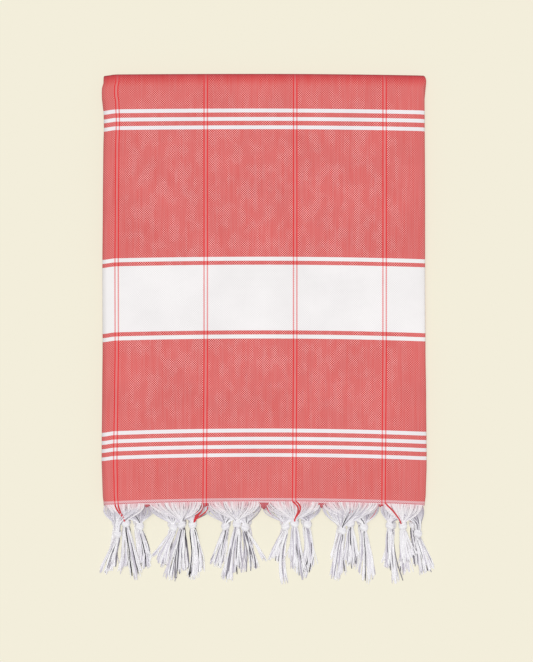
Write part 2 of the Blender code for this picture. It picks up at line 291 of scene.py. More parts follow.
def arc(centre, radius, start, end, steps):
    """Points inside an arc and their outward directions, without its two ends."""
    points = []
    for step in range(1, steps):
        angle = math.radians(blend(start, end, step / steps))
        side, up = math.cos(angle), math.sin(angle)
        points.append((centre[0] + radius * side, centre[1] + radius * up, side, up))
    return points


def layer(start, end, height, normal, steps):
    return [(blend(start, end, step / steps), height, 0.0, normal) for step in range(steps + 1)]


def distances(points):
    """How far each point is along the line through them."""
    total, found = 0.0, [0.0]
    for (a, b, *_), (c, d, *_) in zip(points, points[1:]):
        total += math.hypot(c - a, d - b)
        found.append(total)
    return found


def cross_section():
    """The cloth's width as a letter fold: (x, height, normal x, normal height)."""
    left = -HALF_WIDTH + SMALL_FOLD + SHEET / 2
    right = HALF_WIDTH - LARGE_FOLD - SHEET / 2
    points = layer(right - EDGE_SETBACK, left, 0.0, -1.0, HIDDEN_COLUMNS)
    points += arc((left, SMALL_FOLD), SMALL_FOLD, 270, 90, FOLD_STEPS)
    points += layer(left, right, LAYER_PITCH, 1.0, FACE_COLUMNS)
    points += arc((right, 0.0), LARGE_FOLD, 90, -90, FOLD_STEPS)
    points += layer(right, left + EDGE_SETBACK, -LAYER_PITCH, -1.0, HIDDEN_COLUMNS)
    return points


def strip_path():
    """The strip's length, folded in four: (y, z, face's y, face's z, sideways slip)."""
    fourth, third, second, first = RUN_Z
    wrap_centre = (FOLD_Y, (first + fourth) / 2)
    inner_centre = (FOLD_Y, (second + third) / 2)
    lower_centre = (LOWER_FOLD_Y, (third + fourth) / 2)
    top_run = [(UPPER_END_Y + step, first, 0.0, 1.0) for step in HEM_ROWS]
    top_run += layer(UPPER_END_Y + HEM_ZONE, FOLD_Y, first, 1.0, FACE_ROWS)
    pieces = (
        (top_run, 3, 3, 1),
        (arc(wrap_centre, WRAP_FOLD, 90, -90, WRAP_STEPS), 3, 0, 1),
        (layer(FOLD_Y, LOWER_FOLD_Y, fourth, -1.0, HIDDEN_ROWS), 0, 0, 1),
        (arc(lower_centre, CROSS_FOLD, 270, 90, FOLD_STEPS), 0, 1, 1),
        (layer(LOWER_FOLD_Y, FOLD_Y, third, 1.0, HIDDEN_ROWS), 1, 1, 1),
        (arc(inner_centre, CROSS_FOLD, -90, 90, FOLD_STEPS), 1, 2, -1),
        (layer(FOLD_Y, LOWER_END_Y, second, -1.0, HIDDEN_ROWS), 2, 2, 1),
    )
    path = []
    for points, slip_from, slip_to, facing in pieces:
        for place, (y, z, face_y, face_z) in enumerate(points, start=1):
            slip = blend(RUN_SLIP[slip_from], RUN_SLIP[slip_to], place / (len(points) + 1))
            path.append((y, z, facing * face_y, facing * face_z, slip))
    return path


SECTION = cross_section()
PATH = strip_path()
ACROSS = distances(SECTION)
ALONG = distances(PATH)
CLOTH_WIDTH, CLOTH_LENGTH = ACROSS[-1], ALONG[-1]
FACE_CENTRE_ACROSS = ACROSS[HIDDEN_COLUMNS + FOLD_STEPS] - SECTION[HIDDEN_COLUMNS + FOLD_STEPS][0]
print("flat cloth", round(CLOTH_WIDTH, 3), "by", round(CLOTH_LENGTH, 3), "m")
print("the face's middle is", round(FACE_CENTRE_ACROSS / MM, 1), "mm from the selvedge")

# %% [markdown]
# ## The hem's corners
# At the end of the cloth the warp is drawn together into fans. The weft slides down with it, so
# small corners of cloth hang a few millimetres lower between two fans. The layers under the face
# hang a little lower still, which gives the corners their dark red undersides.

# %% Corners between the fans
# Corners of the hem, as (x, depth, half width) in mm
HEM_CORNERS = (
    (-118.5, 4.0, 4.5), (-59.0, 5.0, 5.5), (0.5, 8.5, 7.0), (58.8, 6.0, 5.0), (119.5, 3.0, 4.5),
)
CORNER_REACH = 3.2 * MM
CORNER_POWER = 1.3
LAYER_DROP = {"face": 1.0, "inner": 1.25, "under": 1.4}


def hem_corner(x):
    """How far the hem hangs down at x."""
    drop = 0.0
    for middle, depth, half in HEM_CORNERS:
        near = max(0.0, 1 - abs(x / MM - middle) / half)
        drop = max(drop, depth * MM * near ** CORNER_POWER)
    return drop


def layer_name(column):
    """The third of the width that a column of the cloth lies in."""
    if column <= HIDDEN_COLUMNS:
        return "inner"
    return "under" if column >= len(SECTION) - HIDDEN_COLUMNS - 1 else "face"


print("deepest corner", round(max(hem_corner(x * MM) for x in range(-165, 165)) / MM, 1), "mm")

# %% [markdown]
# ## The cloth
# The cloth starts as a flat grid with one square for each place on the folds. One extrusion of all
# its faces gives the sheet its thickness, and then every point is put where its fold takes it.
# Building it flat first means that no fold has to be drawn by hand, and the sheet keeps its area.

# %% Fold the cloth
RELIEF = 0.22 * MM
RELIEF_SIZE = 62 * MM
# The wide swells and the small creases, as (times across, times along, seed)
RELIEF_NOISES = ((1.0, 0.6, 3.7), (2.3, 1.2, 9.1))
CREASE_SHARE = 0.4


def relief(x, y):
    """Soft troughs and ridges that stay in the cloth from its folding."""
    wide, crease = (
        noise.noise(Vector((x / RELIEF_SIZE * across, y / RELIEF_SIZE * along, seed)))
        for across, along, seed in RELIEF_NOISES
    )
    return RELIEF * (wide + CREASE_SHARE * crease)


def corner_drop(column, row):
    """How far a point of the upper hem slides down with its corner."""
    fade = smooth(1 - ALONG[row] / CORNER_REACH)
    return fade * hem_corner(SECTION[column][0]) * LAYER_DROP[layer_name(column)]


def fold_point(column, row, offset):
    """The folded place of a point of the flat cloth, `offset` from the sheet's middle."""
    x, height, normal_x, normal_height = SECTION[column]
    y, z, face_y, face_z, slip = PATH[row]
    x += offset * normal_x + slip
    height += offset * normal_height
    y += height * face_y - corner_drop(column, row)
    z += height * face_z
    x, y, z = settle(x, y, z)
    top = RUN_Z[3] + LAYER_PITCH
    return x, y, z + relief(x, y) * min(max(z / top, 0.0), 1.0) ** 2


def make_cloth():
    columns, rows = len(SECTION) - 1, len(PATH) - 1
    bm = bmesh.new()
    bmesh.ops.create_grid(bm, x_segments=columns, y_segments=rows, size=1.0)
    grown = bmesh.ops.extrude_face_region(bm, geom=bm.faces[:])
    outer = {item for item in grown["geom"] if isinstance(item, bmesh.types.BMVert)}
    spot = {}
    for vert in bm.verts:
        column = round((vert.co.x + 1) / 2 * columns)
        row = round((vert.co.y + 1) / 2 * rows)
        spot[vert] = (ACROSS[column], ALONG[row] - corner_drop(column, row))
        vert.co = fold_point(column, row, SHEET / 2 if vert in outer else -SHEET / 2)
    uv_map = bm.loops.layers.uv.new("cloth")
    for face in bm.faces:
        face.smooth = True
        for loop in face.loops:
            loop[uv_map].uv = spot[loop.vert]
    bmesh.ops.recalc_face_normals(bm, faces=bm.faces[:])
    mesh = bpy.data.meshes.new("folded_cloth")
    bm.to_mesh(mesh)
    bm.free()
    thing = bpy.data.objects.new("folded_cloth", mesh)
    bpy.context.scene.collection.objects.link(thing)
    return thing


cloth = make_cloth()
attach(cloth, "root")
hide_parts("cloth")
print("cloth faces", len(cloth.data.polygons))

# %% [markdown]
# ## The woven stripes
# A stripe across the towel is a stretch where the weft is white instead of red, and a pinstripe
# along it is two red threads in the white warp. Where red weft crosses white warp, the eye mixes
# them to coral. So the material has no coral in it: it decides how much of each thread lies on
# top. That gives the dotted pinstripes on the white bands for free.

# %% Bands and pinstripes, measured on the flat cloth
# Stretches of another weft, as (start, end, colour) in mm from the hem
WEFT_BANDS = (
    (-1.0, 0.03, "#BE3543"), (0.03, 1.5, "#E6BEC3"), (1.5, 2.3, "#CC5C63"),
    (2.3, 4.6, "#E2A4A9"), (46.6, 50.3, "#F1ECEF"), (54.9, 58.7, "#F1ECEF"),
    (63.1, 66.9, "#F1ECEF"), (71.4, 75.3, "#F1ECEF"), (167.1, 171.2, "#F4F1F1"),
    (175.4, 242.2, "#F4F1F1"), (246.3, 250.3, "#F4F1F1"), (380.3, 384.1, "#F1ECEF"),
    (388.8, 392.6, "#F1ECEF"), (397.3, 401.2, "#F1ECEF"),
)
WEFT_RED = "#DA4742"
WARP_RED = "#EA353B"
WARP_WHITE = "#F4F1F1"
PINSTRIPE_PITCH = 91.1 * MM
PINSTRIPE_START = 337.8 * MM
PINSTRIPE_HALF_GAP = 1.72 * MM
PINSTRIPE_HALF_LINE = 0.72 * MM
# How soft the edge of a red thread is, and how far its pair reaches beyond it
PINSTRIPE_BLUR = 0.12 * MM
PAIR_MARGIN = 0.2 * MM
# The knots pull the warp a little to one side near the hem
HEM_DRIFT = 1.1 * MM
HEM_DRIFT_ZONE = 150 * MM


def distance_from(tree, place, middle):
    """How far a place on the flat cloth is from another."""
    difference = add_node(tree, "Math", {0: place, 1: middle}, operation="SUBTRACT")
    return add_node(tree, "Math", {0: difference.outputs[0]}, operation="ABSOLUTE").outputs[0]


def weft_colours(tree, along):
    """The weft's colour by its distance from the nearer hem, one band after another."""
    inside = add_node(tree, "Math", {0: along, 1: 0.0}, operation="MAXIMUM")
    nearer = add_node(tree, "Math", {0: inside.outputs[0], 1: CLOTH_LENGTH / 2},
                      operation="PINGPONG")
    weft = linear(WEFT_RED)
    for start, end, colour in WEFT_BANDS:
        band = add_node(tree, "Math", {
            0: nearer.outputs[0], 1: (start + end) / 2 * MM, 2: (end - start) / 2 * MM,
        }, operation="COMPARE")
        mix = add_node(tree, "Mix", {
            "Factor": band.outputs[0], MIX_A: weft, MIX_B: linear(colour),
        }, data_type="RGBA")
        weft = mix.outputs[MIX_COLOUR]
    return weft


def warp_colours(tree, across, along):
    """White warp with pairs of red threads: its colour, the lines, and the whole pairs."""
    drift = add_node(tree, "MapRange", {
        "Value": along, "From Min": 0.0, "From Max": HEM_DRIFT_ZONE,
        "To Min": HEM_DRIFT - PINSTRIPE_START, "To Max": -PINSTRIPE_START,
    })
    moved = add_node(tree, "Math", {0: across, 1: drift.outputs[0]}, operation="ADD")
    near = add_node(tree, "Math", {0: moved.outputs[0], 1: PINSTRIPE_PITCH / 2},
                    operation="PINGPONG")
    inside = add_node(tree, "MapRange", {
        "Value": distance_from(tree, near.outputs[0], PINSTRIPE_HALF_GAP),
        "From Min": PINSTRIPE_HALF_LINE + PINSTRIPE_BLUR,
        "From Max": PINSTRIPE_HALF_LINE - PINSTRIPE_BLUR,
    })
    colour = add_node(tree, "Mix", {
        "Factor": inside.outputs[0], MIX_A: linear(WARP_WHITE), MIX_B: linear(WARP_RED),
    }, data_type="RGBA")
    pair = add_node(tree, "Math", {
        0: near.outputs[0], 1: 0.0, 2: PINSTRIPE_HALF_GAP + PINSTRIPE_HALF_LINE + PAIR_MARGIN,
    }, operation="COMPARE")
    return colour.outputs[MIX_COLOUR], inside.outputs[0], pair.outputs[0]


print("bands", len(WEFT_BANDS), "pinstripes every", PINSTRIPE_PITCH / MM, "mm")

# %% [markdown]
# ## The weave
# The real threads are half a millimetre apart and too fine for this picture, so the weave is
# drawn about twice as coarse, at 1.16 mm. Every other crossing is lifted. The crossings show in
# patches, and less where the cloth is drawn flat at its folds and at the hem.

# %% Crossings, and where they show less
THREAD_PITCH = 1.164 * MM
WEFT_PITCH = 1.15 * MM
# The middle of the fold at the top edge
TOP_FOLD_ALONG = 439.4 * MM
# Where the weave shows less: (zone, distance at which it is calmest, distance at which it is
# clear, least share of its contrast), with distances in mm from the middle, fold or hem
CALM_ZONES = (
    ("side folds", 156, 132, 0.35), ("top fold", 12, 45, 0.6), ("hem", 15, 140, 0.6),
)


def drawn_flat(tree, contrast, across, along):
    """The weave's contrast, less where the cloth is drawn flat at its folds and at the hem."""
    distances_by_zone = {
        "side folds": distance_from(tree, across, FACE_CENTRE_ACROSS),
        "top fold": distance_from(tree, along, TOP_FOLD_ALONG),
        "hem": along,
    }
    for zone, calm_at, clear_at, least in CALM_ZONES:
        clear = add_node(tree, "MapRange", {
            "Value": distances_by_zone[zone], "From Min": calm_at * MM, "From Max": clear_at * MM,
            "To Min": least, "To Max": 1.0,
        })
        contrast = add_node(tree, "Math", {0: contrast, 1: clear.outputs[0]},
                            operation="MULTIPLY").outputs[0]
    return contrast


def thread_wave(tree, place, pitch):
    """A wave that is up on every other thread and down between them."""
    angle = add_node(tree, "Math", {0: place, 1: math.pi / pitch}, operation="MULTIPLY")
    return add_node(tree, "Math", {0: angle.outputs[0]}, operation="SINE").outputs[0]


print("weave drawn at", round(THREAD_PITCH / MM, 2), "by", round(WEFT_PITCH / MM, 2), "mm")

# %% [markdown]
# ## The cotton cloth's material
# Flat-woven cotton is matt: rough, with hardly any gloss. Each warp thread has a tone of its own,
# which gives the fine vertical streaks. The fold at the top edge is given painted shade: less
# white warp shows towards it and it turns crimson, with a thin darker painted line where it turns
# away.
# The left fold has a little painted shade too, and a lifted crossing is painted brighter than a
# sunken one, as painted light and shade of the weave's relief. These shades are small and soft,
# so they are drawn as colour.

# %% Weave the cotton
# Noises on the flat cloth, as (stretch along both threads, scale, detail)
PATCHES = ((1.0, 0.55, 1.0), 95.0, 1.0)
STREAKS = ((1.0, 0.03, 1.0), 560.0, 2.0)
CLOUD_SCALE = 24.0
# What a noise becomes, as (its own low and high end, what they stand for)
PATCH_CONTRAST = (0.36, 0.6, 0.16, 1.1)
STREAK_SHARE = (0.3, 0.7, 0.1, 0.155)
CLOUD_TONE = (0.3, 0.7, 0.965, 1.035)
# How much white a lifted warp thread adds, and how much brighter it is painted than a sunken one,
# as painted light and shade of the threads' relief
LIFT_SHARE = 0.21
LIFT_LIGHT_AND_SHADE = 0.84
# How much more of the warp shows in and between a pair of red threads, and on a red thread
PAIR_LIFT = 0.06
PINSTRIPE_SHARE = 0.45
# The fold at the top edge, all painted shade: the zone where less white warp is drawn, its crimson
# shade, and the thin darker line along its turned edge
FOLD_DIMMING_START = 17 * MM
FOLD_DIMMING_END = 2 * MM
FOLD_DIMMING = 0.12
FOLD_CRIMSON_SHADE = "#AE465C"
FOLD_SHADE_ZONE = 13 * MM
FOLD_SHADE_SHARE = 0.46
FOLD_EDGE_SHADE = "#7C3340"
FOLD_EDGE_SHADE_START = 4.8 * MM
FOLD_EDGE_SHADE_END = 2.8 * MM
FOLD_EDGE_SHADE_SHARE = 0.42
# The left fold's painted shade: how wide it is, and its tone at the fold
SIDE_SHADE_ZONE = 5 * MM
SIDE_SHADE = 0.8
# How high a lifted crossing stands
CLOTH_BUMP = 0.12 * MM
# The sockets of a Map Range node, in the order of the rows above
MAP_RANGE = ("From Min", "From Max", "To Min", "To Max")


def make_cotton_cloth():
    material, tree, shader = new_material("flat_woven_cotton")
    uv = add_node(tree, "UVMap", uv_map="cloth").outputs["UV"]
    parts = add_node(tree, "SeparateXYZ", {0: uv})
    across, along = parts.outputs["X"], parts.outputs["Y"]

    warp_wave = thread_wave(tree, across, THREAD_PITCH)
    weft_wave = thread_wave(tree, along, WEFT_PITCH)
    checker = add_node(tree, "Math", {0: warp_wave, 1: weft_wave}, operation="MULTIPLY")
    stretch, scale, detail = PATCHES
    patch_place = add_node(tree, "Mapping", {"Vector": uv, "Scale": stretch})
    patches = add_node(tree, "TexNoise", {
        "Vector": patch_place.outputs[0], "Scale": scale, "Detail": detail,
    })
    contrast = add_node(tree, "MapRange", {
        "Value": patches.outputs["Fac"], **dict(zip(MAP_RANGE, PATCH_CONTRAST)),
    })
    clarity = drawn_flat(tree, contrast.outputs[0], across, along)
    warp, pinstripe, pair = warp_colours(tree, across, along)
    weft = weft_colours(tree, along)
    white_part = add_node(tree, "SeparateColor", {"Color": weft}).outputs["Green"]
    red_part = add_node(tree, "Math", {0: 1.0, 1: white_part}, operation="SUBTRACT")
    red_on_red = add_node(tree, "Math", {0: red_part.outputs[0], 1: pair},
                          operation="MULTIPLY")
    not_both = add_node(tree, "Math", {0: 1.0, 1: red_on_red.outputs[0]}, operation="SUBTRACT")
    seen = add_node(tree, "Math", {0: clarity, 1: not_both.outputs[0]},
                    operation="MULTIPLY")
    lift = add_node(tree, "Math", {0: checker.outputs[0], 1: seen.outputs[0]},
                    operation="MULTIPLY")

    stretch, scale, detail = STREAKS
    streak_place = add_node(tree, "Mapping", {"Vector": uv, "Scale": stretch})
    streaks = add_node(tree, "TexNoise", {
        "Vector": streak_place.outputs[0], "Scale": scale, "Detail": detail,
    })
    streak = add_node(tree, "MapRange", {
        "Value": streaks.outputs["Fac"], **dict(zip(MAP_RANGE, STREAK_SHARE)),
    })
    showing = add_node(tree, "Math", {0: lift.outputs[0], 1: LIFT_SHARE, 2: streak.outputs[0]},
                       operation="MULTIPLY_ADD", use_clamp=True)

    # Painted shade of the top fold: less white warp, a crimson shade and a dark line at its edge
    fold_away = distance_from(tree, along, TOP_FOLD_ALONG)
    fold_dimming = add_node(tree, "MapRange", {
        "Value": fold_away, "From Min": FOLD_DIMMING_START, "From Max": FOLD_DIMMING_END,
        "To Min": 0.0, "To Max": -FOLD_DIMMING,
    }, interpolation_type="SMOOTHSTEP")
    shown = add_node(tree, "Math", {0: showing.outputs[0], 1: fold_dimming.outputs[0]},
                     operation="ADD", use_clamp=True)
    crimson_shade_share = add_node(tree, "MapRange", {
        "Value": fold_away, "From Min": FOLD_SHADE_ZONE, "From Max": 0.0,
        "To Min": 0.0, "To Max": FOLD_SHADE_SHARE,
    }, interpolation_type="SMOOTHSTEP")
    edge_shade_share = add_node(tree, "MapRange", {
        "Value": fold_away, "From Min": FOLD_EDGE_SHADE_START, "From Max": FOLD_EDGE_SHADE_END,
        "To Min": 0.0, "To Max": FOLD_EDGE_SHADE_SHARE,
    })

    paler = add_node(tree, "Math", {0: pair, 1: PAIR_LIFT, 2: shown.outputs[0]},
                     operation="MULTIPLY_ADD", use_clamp=True)
    warp_share = add_node(tree, "Math", {
        0: pinstripe, 1: PINSTRIPE_SHARE, 2: paler.outputs[0],
    }, operation="MULTIPLY_ADD", use_clamp=True)
    woven = add_node(tree, "Mix", {
        "Factor": warp_share.outputs[0], MIX_A: weft, MIX_B: warp,
    }, data_type="RGBA")

    clouds = add_node(tree, "TexNoise", {"Vector": uv, "Scale": CLOUD_SCALE, "Detail": 3.0})
    cloud = add_node(tree, "MapRange", {
        "Value": clouds.outputs["Fac"], **dict(zip(MAP_RANGE, CLOUD_TONE)),
    })
    # Painted light and shade of the weave's relief: lifted crossings brighter, sunken ones darker
    relief_light_and_shade = add_node(tree, "Math", {0: lift.outputs[0], 1: red_part.outputs[0]},
                           operation="MULTIPLY")
    tone = add_node(tree, "Math", {0: relief_light_and_shade.outputs[0], 1: LIFT_LIGHT_AND_SHADE, 2: cloud.outputs[0]},
                    operation="MULTIPLY_ADD")
    # Painted shade along the left fold
    side_away = distance_from(tree, across, FACE_CENTRE_ACROSS - HALF_WIDTH)
    side_shade = add_node(tree, "MapRange", {
        "Value": side_away, "From Min": SIDE_SHADE_ZONE, "From Max": 0.0,
        "To Min": 1.0, "To Max": SIDE_SHADE,
    })
    folded = add_node(tree, "Math", {0: tone.outputs[0], 1: side_shade.outputs[0]},
                      operation="MULTIPLY")
    toned = add_node(tree, "VectorMath", {0: woven.outputs[MIX_COLOUR], 1: folded.outputs[0]},
                     operation="MULTIPLY")
    # The top fold's painted crimson shade, then its painted dark edge line
    crimson = add_node(tree, "Mix", {
        "Factor": crimson_shade_share.outputs[0], MIX_A: toned.outputs[0], MIX_B: linear(FOLD_CRIMSON_SHADE),
    }, data_type="RGBA")
    fold_edge_shaded = add_node(tree, "Mix", {
        "Factor": edge_shade_share.outputs[0], MIX_A: crimson.outputs[MIX_COLOUR],
        MIX_B: linear(FOLD_EDGE_SHADE),
    }, data_type="RGBA")
    tree.links.new(fold_edge_shaded.outputs[MIX_COLOUR], shader.inputs["Base Color"])

    height = add_node(tree, "Math", {0: checker.outputs[0], 1: streaks.outputs["Fac"]},
                      operation="ADD")
    bump = add_node(tree, "Bump", {
        "Height": height.outputs[0], "Strength": 0.25, "Distance": CLOTH_BUMP,
    })
    tree.links.new(bump.outputs[0], shader.inputs["Normal"])
    shader.inputs["Roughness"].default_value = 0.92
    shader.inputs["IOR"].default_value = 1.5
    shader.inputs["Specular IOR Level"].default_value = 0.1
    return material


cotton_cloth = make_cotton_cloth()
cloth.data.materials.append(cotton_cloth)
print("cloth material nodes", len(cotton_cloth.node_tree.nodes))

# %% [markdown]
# ## The yarns' materials
# The tassels are the warp itself: soft white cotton yarn that is lightly twisted, with a slight
# fuzz that sheen gives. Close up, each yarn shows slanting twist lines, with painted shade in the
# grooves. Most yarns are nearly white, and a few, drawn at random, are lilac to nearly black as
# painted shade, as if they lay deep between the others. In the fans the yarns lie side by side and
# share one tone, made greyer in the layers below as painted shade. Near the hem they turn pink,
# partly from red weft traces and partly as painted red light from the cloth, and darker pink in
# the layers below as painted shade.

# %% Twist the cotton yarn
# Turns along a yarn, the painted shade in the grooves between them, and their depth
TWISTS = 34
GROOVE_SHADE = 0.94
YARN_BUMP = 0.08 * MM
# Where the yarns near the hem turn pink, partly from red weft traces in them and partly as painted
# red light from the cloth, how strongly, and where the fans end
HEM_TINT_START = -217 * MM
HEM_TINT_END = -229 * MM
HEM_TINT_SHARE = 0.8
FAN_END = -240 * MM
# How far the yarns of a fan share one tone; in the layers below, that tone is painted shade
FAN_SHARE = 0.75


def make_yarn(name, tones, hem_tint, fan_tone_and_shade):
    """Twisted yarn. `tones` are (place in 0 to 1, colour): the share of yarns of each tone."""
    material, tree, shader = new_material(name)
    uv = add_node(tree, "UVMap", uv_map="UVMap")
    parts = add_node(tree, "SeparateXYZ", {0: uv.outputs["UV"]})
    down, around = parts.outputs["X"], parts.outputs["Y"]
    turns = add_node(tree, "Math", {0: down, 1: TWISTS, 2: around}, operation="MULTIPLY_ADD")
    angle = add_node(tree, "Math", {0: turns.outputs[0], 1: 2 * math.pi}, operation="MULTIPLY")
    twist = add_node(tree, "Math", {0: angle.outputs[0]}, operation="SINE")

    island = add_node(tree, "NewGeometry")
    own_tone = island.outputs["Random Per Island"]
    # Painted shade in the twist's grooves
    groove_shade = add_node(tree, "MapRange", {
        "Value": twist.outputs[0], "From Min": -1.0, "From Max": 1.0,
        "To Min": 1.0, "To Max": GROOVE_SHADE,
    })
    ramp = add_node(tree, "ValToRGB", {"Fac": own_tone})
    stops = ramp.color_ramp.elements
    for number, (position, colour) in enumerate(tones):
        stop = stops[number] if number < len(stops) else stops.new(position)
        stop.position = position
        stop.color = linear(colour)
    place = add_node(tree, "TexCoord")
    place_parts = add_node(tree, "SeparateXYZ", {0: place.outputs["Object"]})
    near_hem = add_node(tree, "MapRange", {
        "Value": place_parts.outputs["Y"], "From Min": HEM_TINT_END, "From Max": HEM_TINT_START,
        "To Min": 0.0, "To Max": HEM_TINT_SHARE,
    }, interpolation_type="SMOOTHSTEP")
    in_fan = add_node(tree, "MapRange", {
        "Value": place_parts.outputs["Y"], "From Min": FAN_END, "From Max": HEM_TINT_END,
        "To Min": 0.0, "To Max": FAN_SHARE,
    }, interpolation_type="SMOOTHSTEP")
    own_colour = add_node(tree, "Mix", {
        "Factor": in_fan.outputs[0], MIX_A: ramp.outputs["Color"], MIX_B: linear(fan_tone_and_shade),
    }, data_type="RGBA")
    groove_shaded = add_node(tree, "VectorMath", {
        0: own_colour.outputs[MIX_COLOUR], 1: groove_shade.outputs[0],
    }, operation="MULTIPLY")
    # Pink near the hem: partly red weft traces, partly painted red light from the cloth
    tinted = add_node(tree, "Math", {0: near_hem.outputs[0], 1: own_tone}, operation="MULTIPLY")
    final = add_node(tree, "Mix", {
        "Factor": tinted.outputs[0], MIX_A: groove_shaded.outputs[0], MIX_B: linear(hem_tint),
    }, data_type="RGBA")
    tree.links.new(final.outputs[MIX_COLOUR], shader.inputs["Base Color"])

    bump = add_node(tree, "Bump", {
        "Height": twist.outputs[0], "Strength": 0.4, "Distance": YARN_BUMP,
    })
    tree.links.new(bump.outputs[0], shader.inputs["Normal"])
    shader.inputs["Roughness"].default_value = 0.88
    shader.inputs["Specular IOR Level"].default_value = 0.15
    shader.inputs["Sheen Weight"].default_value = 0.35
    shader.inputs["Sheen Roughness"].default_value = 0.5
    return material


# The lilac and nearly black stops are painted shade, on yarns drawn at random
WHITE_AND_PAINTED_SHADE_TONES = ((0.0, "#FFFEFF"), (0.66, "#F6F3F7"), (0.86, "#CFC9D6"), (0.97, "#17141A"))
KNOT_TONES = ((0.0, "#FFFEFF"), (1.0, "#F1EEF3"))
RED_TONES = ((0.0, "#E0454C"), (1.0, "#D23A42"))
# The inner and under layers get darker fan tones and hem pinks as painted shade
white_yarn = make_yarn("white_cotton_yarn", WHITE_AND_PAINTED_SHADE_TONES, "#EFAAB0", "#F8F3F5")
inner_yarn = make_yarn("white_cotton_yarn_in_half_shade", WHITE_AND_PAINTED_SHADE_TONES, "#DDA6AE", "#DAD5DD")
under_yarn = make_yarn("white_cotton_yarn_in_shade", WHITE_AND_PAINTED_SHADE_TONES, "#D27F8B", "#BFB8C3")
knot_yarn = make_yarn("white_cotton_yarn_of_the_knots", KNOT_TONES, "#F1EEF3", "#F1EEF3")
red_yarn = make_yarn("red_cotton_yarn", RED_TONES, "#D2363C", "#DC4047")
print("yarn materials", white_yarn.name, knot_yarn.name, red_yarn.name)

# %% [markdown]
# ## Where the tassels lie
# The solids' tables say where each tassel leaves the hem, where its knot is and where its tail
# lies. The yarns follow them. Three layers of cloth end at each hem, so three tassels lie over one
# another in each of the six groups. The tips of the locks are given one by one, because no two
# tassels of the real towel fall alike.

# %% Tables of the tassels, as in the solids
KNOT_WIDTH = 9.0 * MM
KNOT_LENGTH = 11 * MM
KNOT_HEIGHT = 5.8 * MM
LOCK_HEIGHT = 1.6 * MM

# (end, layer, run, layers above the run's middle, height of the knot, height under the tail),
# in mm
LAYERS = (
    ("upper", "face", 3, 1, 9.8, 4.1),
    ("upper", "inner", 3, 0, 9.0, 2.1),
    ("upper", "under", 3, -1, 8.5, 2.1),
    ("lower", "under", 2, 1, 2.7, 0.0),
    ("lower", "inner", 2, 0, 2.7, 0.0),
    ("lower", "face", 2, -1, 2.7, 0.0),
)

# Fans of the lowest knots close before they reach them: (share of the way, y of such a knot)
LOW_FAN_END = 0.72
LOW_KNOT = -249.0

# Where each group's tassels leave the hem, as (left edge, right edge) in mm
FACE_FANS = (
    (-162.0, -121.5), (-116.5, -62.6), (-56.0, -2.8), (3.0, 57.4), (60.0, 117.0), (121.8, 162.0),
)

# The slack outer side of the upper end's hidden fans, by group in mm: how much further out it
# leaves the hem, and its belly. The inner layer's left side shows, and the under layer's right.
SLACK_SIDES = {
    "inner": ((0.5, 3.5), (0.0, 1.5), (1.0, 4.5), (0.5, 5.0), (0.0, 1.5), (1.0, 2.5)),
    "under": ((8.5, 3.5), (8.5, 3.0), (1.0, 0.0), (0.5, 2.0), (0.0, 2.0), (0.0, 3.0)),
}

# Upper tassels, in mm: (knot x, knot y, sideways bulge of the tail, places of the locks' tips)
UPPER_TASSELS = {
    "face": (
        (-141.0, -240.4, 1.0, ((-146.9, -289.5), (-141.2, -285.4), (-135.6, -296.7),
                               (-131.5, -298.7), (-126.9, -295.6))),
        (-83.9, -241.5, -1.0, ((-99.7, -296.7), (-95.1, -298.7), (-91.0, -299.7),
                               (-86.3, -293.6), (-82.2, -289.5))),
        (-27.4, -240.9, -1.0, ((-41.2, -298.7), (-37.1, -300.8), (-33.0, -299.7),
                               (-28.9, -293.6), (-25.3, -287.4))),
        (31.5, -240.4, -0.5, ((27.5, -280.2), (31.6, -287.4), (35.7, -294.6),
                              (39.8, -297.7), (42.9, -290.5))),
        (88.7, -240.4, 0.5, ((83.4, -279.2), (86.5, -284.4), (90.1, -286.4),
                             (93.7, -282.3), (96.8, -276.1))),
        (142.3, -243.0, 0.5, ((140.9, -279.2), (144.5, -282.3), (148.1, -280.2),
                              (151.6, -276.1), (155.2, -274.1))),
    ),
    "inner": (
        (-149.6, -251.0, -1.0, ((-166.9, -290.5), (-162.3, -292.6), (-157.1, -289.5),
                                (-152.5, -285.4))),
        (-92.3, -244.5, -2.5, ((-112.6, -275.1), (-108.7, -281.3), (-104.3, -285.4),
                               (-100.7, -280.2))),
        (-39.0, -243.5, -1.0, ((-53.0, -282.3), (-49.4, -285.4), (-45.8, -286.4),
                               (-42.7, -282.3))),
        (22.3, -243.5, -4.0, ((6.0, -279.2), (10.6, -275.1), (18.8, -302.8), (23.4, -302.8))),
        (80.2, -247.6, -1.5, ((70.1, -297.7), (73.2, -299.7), (76.8, -299.7), (79.8, -293.6))),
        (129.1, -242.5, -1.0, ((126.5, -287.4), (130.1, -288.5), (134.2, -302.8),
                               (137.8, -301.8))),
    ),
    "under": (
        (-126.8, -243.5, 2.5, ((-125.8, -283.3), (-122.4, -288.5), (-119.0, -287.4),
                               (-116.3, -280.2))),
        (-72.7, -241.5, 2.6, ((-76.6, -296.7), (-72.8, -299.7), (-69.0, -297.5),
                              (-65.2, -291.5))),
        (-18.9, -244.5, 1.5, ((-18.6, -290.5), (-13.0, -289.5), (-7.4, -286.4),
                              (0.8, -280.2))),
        (44.8, -241.5, 3.5, ((38.6, -292.0), (41.6, -296.7), (45.6, -291.5), (49.0, -285.0))),
        (102.5, -244.5, 1.5, ((97.8, -293.6), (102.9, -300.8), (108.0, -302.8),
                              (112.7, -297.7))),
        (157.7, -250.7, 1.0, ((161.9, -293.6), (166.0, -292.6), (170.1, -290.5),
                              (173.7, -287.4))),
    ),
}

